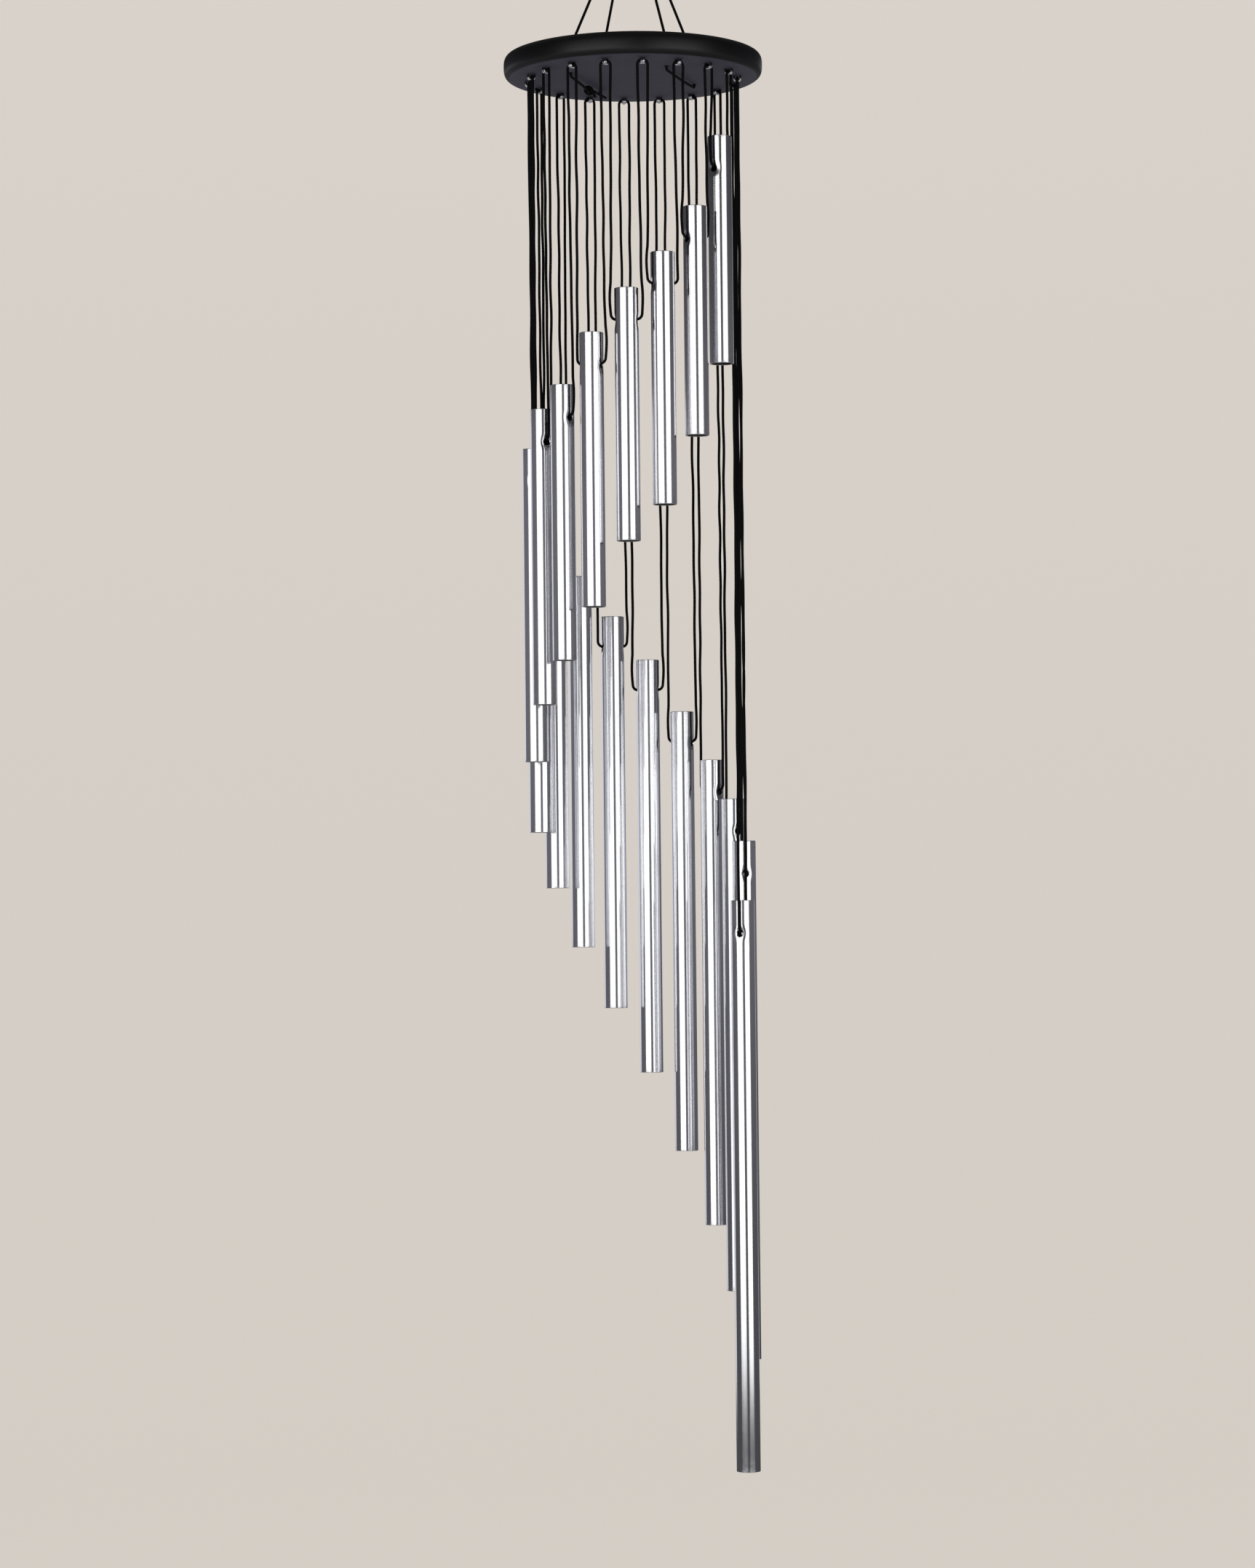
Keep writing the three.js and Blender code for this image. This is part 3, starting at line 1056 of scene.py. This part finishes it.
@dataclass
class Lacing:
    """Cord laced from staple to staple, with one sling of it through each tube."""

    cord: float = 0.0014
    staple_circle: float = 0.106
    half_pitch: float = 10
    crest: float = -0.001
    seam: float = 0.00003
    arch_width: float = 0.0052
    arch_gap: float = 0.0003
    tube_radius: float = 0.006
    standoff: float = 0.0018
    elbow: float = 0.0028
    lift: float = 0.0002
    bow: float = 0.0006
    bow_shares: Pair = (-0.1, 1)
    bow_height: float = 0.016
    sway: float = 0.00011
    sway_shares: Pair = (0.5, 1)
    sway_lengths: tuple[Pair, ...] = ((0.024, 0.036), (0.045, 0.07), (0.09, 0.15))
    sway_rate: float = 8
    spacing: float = 0.0026
    steps: int = 7
    sides: int = 12

    def _corners(self, seat: TubeSeat, depth: float) -> tuple[Vector, list[Corner], Vector]:
        """Finds the sling's ends at the staples' crests and the corners between them.

        Args:
            seat: The tube's seat.
            depth: How far below the disc the cord goes through the tube.

        Returns:
            The first end, the corners with their radii, and the last end.
        """
        half = math.radians(self.half_pitch)
        ends, bends = [], []
        for sign in (-1, 1):
            crest = on_circle(self.staple_circle, sign * self.half_pitch, self.crest)
            inward = Vector((math.sin(half), -sign * math.cos(half), 0))
            elbow = Vector((seat.circle_radius, sign * (self.tube_radius + self.standoff), depth))
            ends.append(crest + inward * self.seam)
            bends.append([
                (crest + inward * (self.arch_width / 2), self.arch_width / 2 - self.arch_gap),
                (elbow, self.elbow),
            ])
        return ends[0], [*bends[0], *reversed(bends[1])], ends[1]

    def _swayed(self, route: list[Vector], number: int) -> list[Vector]:
        """Gives the two strands of a sling the slow waves of a cord that was once wound up.

        Args:
            route: The sling's middle line, straight between its bends.
            number: The tube's number, which sets the waves.

        Returns:
            The waved line.
        """
        rng = random.Random(number)
        top = -self.arch_width
        foot = min(p.z for p in route) + self.elbow
        waves = {
            (sign, axis): [
                (rng.uniform(*self.sway_shares), rng.uniform(*lengths), rng.uniform(0, TURN))
                for lengths in self.sway_lengths]
            for sign in (-1, 1) for axis in (0, 1)}
        bows = {sign: rng.uniform(*self.bow_shares) * self.bow for sign in (-1, 1)}
        waved = []
        for point in route:
            share = (top - point.z) / (top - foot)
            if not 0 < share < 1:
                waved.append(point)
                continue
            ease = eased(share, self.sway_rate) * self.sway
            sign = 1 if point.y > 0 else -1
            moved = [
                sum(size * math.sin(TURN * point.z / length + phase)
                    for size, length, phase in waves[sign, axis])
                for axis in (0, 1)]
            rise = min(1, (point.z - foot) / self.bow_height)
            bow = Vector((0, sign * bows[sign] * math.sin(math.pi * rise), 0))
            waved.append(point + Vector((*moved, 0)) * ease + bow)
        return waved

    def build(self, disc: WoodenDisc, seats: Sequence[TubeSeat], finish: Material) -> None:
        """Makes the slings.

        Args:
            disc: The disc that they hang from.
            seats: The tubes' seats.
            finish: The cord's finish.
        """
        for seat in seats:
            depth = seat.cord_z - disc.underside + self.lift
            start, corners, end = self._corners(seat, depth)
            route = rounded_route(start, corners, end, self.steps, self.spacing)
            draft = Draft()
            draft.bar(self._swayed(route, seat.number), self.cord, self.sides)
            name, matrix = f"sling_{seat.number:02d}", turned(seat.angle, disc.underside)
            piece = draft.piece(f"laced_{name}", finish, crease=60, matrix=matrix)
            fit(piece, name, name)


@dataclass
class ChimeTubes:
    """Square-cut tubes with broken edges and a countersunk hole drilled across each."""

    radius: float = 0.006
    wall: float = 0.001
    lip: float = 0.00022
    hole: float = 0.0036
    hole_depth: float = 0.0165
    countersink: float = 0.0003
    dent: float = 0.0003
    patch: float = 0.005
    lip_wear: Pair = (0.7, 0.8)
    top_wear: tuple[Pair, ...] = ((0.0014, 0.25), (0.005, 0.1), (0.009, 0))
    clear_depth: float = 0.03
    foot_wear: tuple[Pair, ...] = ((0.012, 0), (0.005, 0.15), (0.0014, 0.35))
    rim_wear: float = 0.3
    neck_wear: float = 0.4
    # The cut ends take half of the bore's painted shade.
    end_bore: float = 0.5
    columns: int = 72
    patch_columns: int = 10
    patch_rows: int = 14
    patch_layers: int = 7

    def _rows(self, length: float) -> list[Pair]:
        """Sets out the rings of the wall's points.

        Args:
            length: The tube's length.

        Returns:
            The height of each ring, counted from the top, and its wear.
        """
        hole_top = -self.hole_depth + self.patch
        hole_foot = -self.hole_depth - self.patch
        beside = [
            (hole_top + (hole_foot - hole_top) * i / self.patch_rows, 0)
            for i in range(self.patch_rows + 1)]
        return [
            (-self.lip, self.lip_wear[0]),
            *((-depth, wear) for depth, wear in self.top_wear),
            *beside,
            (-self.clear_depth, 0),
            *((height - length, wear) for height, wear in self.foot_wear),
            (self.lip - length, self.lip_wear[1]),
        ]

    @staticmethod
    def _at(reach: float, angle: float, z: float) -> Vector:
        """A point round the tube, with the angle counted from the first hole."""
        return Vector((reach * math.sin(angle), reach * math.cos(angle), z))

    def _wall(
        self, draft: Draft, radius: float, mouth: float, length: float
    ) -> tuple[list[int], list[int], list[list[int]]]:
        """Makes one face of the wall, with its two holes left open.

        Args:
            draft: The mesh that it goes into.
            radius: The face's radius.
            mouth: The radius of the holes in it.
            length: The tube's length.

        Returns:
            The top ring, the bottom ring, and the rims of the two holes.
        """
        rows = self._rows(length)
        first = 1 + len(self.top_wear)
        last = first + self.patch_rows
        half = self.patch_columns
        holes = (0, self.columns // 2)
        bore = float(radius < self.radius)

        def offset(column: int, hole: int) -> int:
            """How many columns a column lies from a hole's middle."""
            return (column - hole + self.columns // 2) % self.columns - self.columns // 2

        def inside(row: int, column: int) -> bool:
            """Whether a grid point lies within a hole's patch."""
            return first < row < last and any(abs(offset(column, hole)) < half for hole in holes)

        grid = {
            (r, c): draft.point(self._at(radius, TURN * c / self.columns, z), wear, bore)
            for r, (z, wear) in enumerate(rows) for c in range(self.columns) if not inside(r, c)}
        for r in range(len(rows) - 1):
            for c in range(self.columns):
                d = (c + 1) % self.columns
                if first <= r < last and any(-half <= offset(c, hole) < half for hole in holes):
                    continue
                draft.face((grid[r, c], grid[r, d], grid[r + 1, d], grid[r + 1, c]))
        border = [(first, c) for c in range(-half, half)]
        border += [(r, half) for r in range(first, last)]
        border += [(last, c) for c in range(half, -half, -1)]
        border += [(r, -half) for r in range(last, first, -1)]
        rims = []
        for hole in holes:
            layers = [[grid[r, (hole + c) % self.columns] for r, c in border]]
            middle = TURN * hole / self.columns
            for step in range(1, self.patch_layers + 1):
                share = step / self.patch_layers
                ring = []
                for r, c in border:
                    z = rows[r][0] + self.hole_depth
                    turn = math.atan2(z / self.patch, c / half)
                    rim_angle = math.asin(mouth * math.cos(turn) / radius)
                    angle = TURN * c / self.columns * (1 - share) + rim_angle * share
                    z = z * (1 - share) + mouth * math.sin(turn) * share
                    away = math.hypot(self.radius * angle, z)
                    near = max(0.0, (self.patch - away) / (self.patch - mouth))
                    place = self._at(
                        radius - self.dent * near ** 2, middle + angle, z - self.hole_depth)
                    ring.append(draft.point(place, self.rim_wear * share ** 4, bore))
                layers.append(ring)
            draft.stack(layers)
            rims.append(layers[-1])
        top, bottom = ([grid[r, c] for c in range(self.columns)] for r in (0, len(rows) - 1))
        return top, bottom, rims

    def _draft(self, length: float) -> Draft:
        """Makes the mesh of a tube, with its top at the origin.

        Args:
            length: The tube's length.

        Returns:
            The mesh.
        """
        draft = Draft()
        bore, mouth = self.radius - self.wall, self.hole / 2
        outer = self._wall(draft, self.radius, mouth + self.countersink, length)
        inner = self._wall(draft, bore, mouth, length)
        for end, z in ((0, 0.0), (1, -length)):
            edges = [
                draft.ring((self._at(reach, a, z) for a in spokes(self.columns)), 1, self.end_bore)
                for reach in (self.radius - self.lip, bore + self.lip)]
            draft.stack([outer[end], *edges, inner[end]])
        for rim, back, side in zip(outer[2], inner[2], (1, -1)):
            neck = []
            for number in back:
                x, z = draft.points[number].x, draft.points[number].z
                y = side * (math.sqrt((self.radius - self.countersink) ** 2 - x * x) - self.dent)
                neck.append(draft.point(Vector((x, y, z)), self.neck_wear))
            draft.stack([rim, neck, back])
        return draft

    def build(self, seats: Sequence[TubeSeat], finish: Material) -> None:
        """Makes the tubes.

        Args:
            seats: The tubes' seats.
            finish: The metal.
        """
        for seat in seats:
            name = f"tube_{seat.number:02d}"
            matrix = turned(seat.angle, seat.top) @ Matrix.Translation((seat.circle_radius, 0, 0))
            draft = self._draft(seat.length)
            fit(draft.piece(f"polished_{name}", finish, crease=15, matrix=matrix), name, name)


@dataclass(frozen=True)
class Softbox:
    """A tall panel of light that faces the chime."""

    name: str
    angle: float
    width: float
    radiance: float
    height: float = 1.148
    distance: float = 1.5
    middle: float = -0.374
    tint: Colour = (1, 1, 1)

    def build(self) -> None:
        """Makes the light; its angle is counted from the camera towards +X."""
        light = bpy.data.lights.new(self.name, "AREA")
        light.shape = "RECTANGLE"
        light.size, light.size_y = self.width, self.height
        light.energy = self.radiance * math.pi * self.width * self.height
        light.color = self.tint
        turn = math.radians(self.angle)
        lamp = bpy.data.objects.new(self.name, light)
        lamp.location = (self.distance * math.sin(turn), -self.distance * math.cos(turn), self.middle)
        lamp.rotation_euler = (math.pi / 2, 0, turn)
        lamp.visible_camera = False
        bpy.context.scene.collection.objects.link(lamp)


@dataclass
class Studio:
    """Pale floor that sweeps up into a wall all round, softboxes, and dim walls beyond them."""

    floor_z: float = -1.35
    inner_radius: float = 0.6
    radius: float = 7
    sweep: float = 3
    height: float = 20
    floor_colour: Colour = (0.81, 0.755, 0.69)
    fibre_colour: Colour = (0.7, 0.66, 0.61)
    fibres: Grain = Grain(60, 3, tint=0.04)
    floor_glow: float = 0.7
    skirting_light: Colour = (0.057, 0.056, 0.061)
    wall_light: Colour = (0.142, 0.14, 0.156)
    wall_rise: Pair = (-0.16, 0.07)
    frieze_light: Colour = (0.052, 0.051, 0.056)
    frieze_rise: Pair = (0.1, 0.17)
    ceiling_light: Colour = (0.13, 0.128, 0.125)
    ceiling_rise: Pair = (0.35, 0.75)
    floor_light: Colour = (0.27, 0.266, 0.28)
    floor_fall: Pair = (0.17, 0.32)
    foot_light: Colour = (0.42, 0.414, 0.43)
    foot_fall: Pair = (0.86, 0.97)
    panels: tuple[Softbox, ...] = (
        Softbox("key_panel", -32.5, 1.56, 1.2),
        Softbox("fill_panel", 39.5, 1.24, 1.2),
        Softbox("back_left_panel", -148, 1.3, 0.55, 0.87, middle=-0.535, tint=(0.97, 0.97, 1.06)),
        Softbox("back_right_panel", 165, 0.5, 0.6),
    )
    columns: int = 96
    sweep_steps: int = 16

    def _floor_material(self) -> Material:
        """Makes pale matt paper that is seen from its front only.

        Returns:
            The material.
        """
        material, graph = material_graph("pale_paper")
        colour = graph.mix(self.fibres.over(graph).tint, self.floor_colour, self.fibre_colour)
        matt = graph.node("ShaderNodeBsdfDiffuse", inputs={"Color": colour})
        glow = graph.node("ShaderNodeEmission", inputs={"Color": colour, "Strength": self.floor_glow})
        both = graph.node("ShaderNodeAddShader", inputs={0: matt.outputs[0], 1: glow.outputs[0]})
        clear = graph.node("ShaderNodeBsdfTransparent")
        behind = graph.node("ShaderNodeNewGeometry").outputs["Backfacing"]
        sides = {0: behind, 1: both.outputs[0], 2: clear.outputs[0]}
        shown = graph.node("ShaderNodeMixShader", inputs=sides)
        graph.node("ShaderNodeOutputMaterial", inputs={"Surface": shown.outputs[0]})
        return material

    def _floor(self) -> None:
        """Makes the floor and its sweep."""
        flat = self.radius - self.sweep
        profile = [(self.inner_radius, 0.0), (flat, 0.0)]
        for i in range(1, self.sweep_steps + 1):
            angle = math.pi / 2 * i / self.sweep_steps
            profile.append((flat + self.sweep * math.sin(angle), self.sweep * (1 - math.cos(angle))))
        profile.append((self.radius, self.height))
        draft = Draft()
        rings = [
            draft.ring(ring_points(reach, self.columns, self.floor_z + z)) for reach, z in profile]
        draft.face(rings[0])
        draft.stack(rings)
        floor = draft.piece("pale_floor", self._floor_material())
        floor.data.flip_normals()
        for ray in ("diffuse", "glossy", "transmission", "volume_scatter", "shadow"):
            setattr(floor, f"visible_{ray}", False)

    def _world(self) -> None:
        """Makes the light of the room beyond the softboxes: dim walls, pale floor and ceiling."""
        world = bpy.data.worlds.new("studio")
        bpy.context.scene.world = world
        world.use_nodes = True
        graph = Graph(world.node_tree)
        rise = graph.parts(graph.place("Generated"))[2]
        fall = 0 - rise
        colour = self.skirting_light
        for height, limits, light in (
            (rise, self.wall_rise, self.wall_light),
            (rise, self.frieze_rise, self.frieze_light),
            (rise, self.ceiling_rise, self.ceiling_light),
            (fall, self.floor_fall, self.floor_light),
            (fall, self.foot_fall, self.foot_light),
        ):
            colour = graph.mix(graph.step(height, limits), colour, light)
        sky = graph.node("ShaderNodeBackground", inputs={"Color": colour})
        graph.node("ShaderNodeOutputWorld", inputs={"Surface": sky.outputs[0]})

    def build(self) -> None:
        """Makes the floor, the room's light and the softboxes."""
        self._floor()
        self._world()
        for panel in self.panels:
            panel.build()
        log.info("studio with %d softboxes", len(self.panels))


@dataclass(frozen=True)
class PhotoCamera:
    """The camera of the photograph: low, level with the long tubes, and far off."""

    image_height: float = 2156
    focal_pixels: float = 5800
    sensor: float = 36
    clip_end: float = 60
    place: Triple = (-0.0065, -2.128, -0.536)
    pitch: float = 1.621
    roll: float = -0.6

    def build(self) -> None:
        """Makes the camera."""
        data = bpy.data.cameras.new("photo_camera")
        data.sensor_fit = "AUTO"
        data.sensor_width = self.sensor
        data.lens = self.focal_pixels / self.image_height * self.sensor
        data.clip_end = self.clip_end
        camera = bpy.data.objects.new("photo_camera", data)
        tilt = Matrix.Rotation(math.radians(90 + self.pitch), 4, "X")
        turn = Matrix.Rotation(math.radians(self.roll), 4, "Z")
        camera.matrix_world = Matrix.Translation(self.place) @ tilt @ turn
        bpy.context.scene.collection.objects.link(camera)
        bpy.context.scene.camera = camera


def main() -> None:
    """Builds the camera, the studio and the chime from its ring down to its tubes."""
    logging.basicConfig(level=logging.INFO, format="%(name)s: %(message)s")
    bpy.context.scene.view_settings.view_transform = "Standard"
    PhotoCamera().build()
    Studio().build()
    cord = BraidedCord().material()
    tubes = sum(name.startswith("tube_") for name in frame["nodes"])
    seats = [TubeSeat.of_part(number) for number in range(1, tubes + 1)]
    disc = WoodenDisc.of_part()
    cords = HangerCords()
    HangingRing().build(PlatedSteel().material())
    HangerKnot().build(cord)
    cords.build(disc, cord)
    disc.build(cords, BlackLacquer().material())
    staples = Staples()
    staples.build(disc, tubes, BrightWire(disc.underside + staples.leg_shade_offset).material())
    Lacing().build(disc, seats, cord)
    ChimeTubes().build(seats, PolishedAluminium().material())


if __name__ == "__main__":
    main()
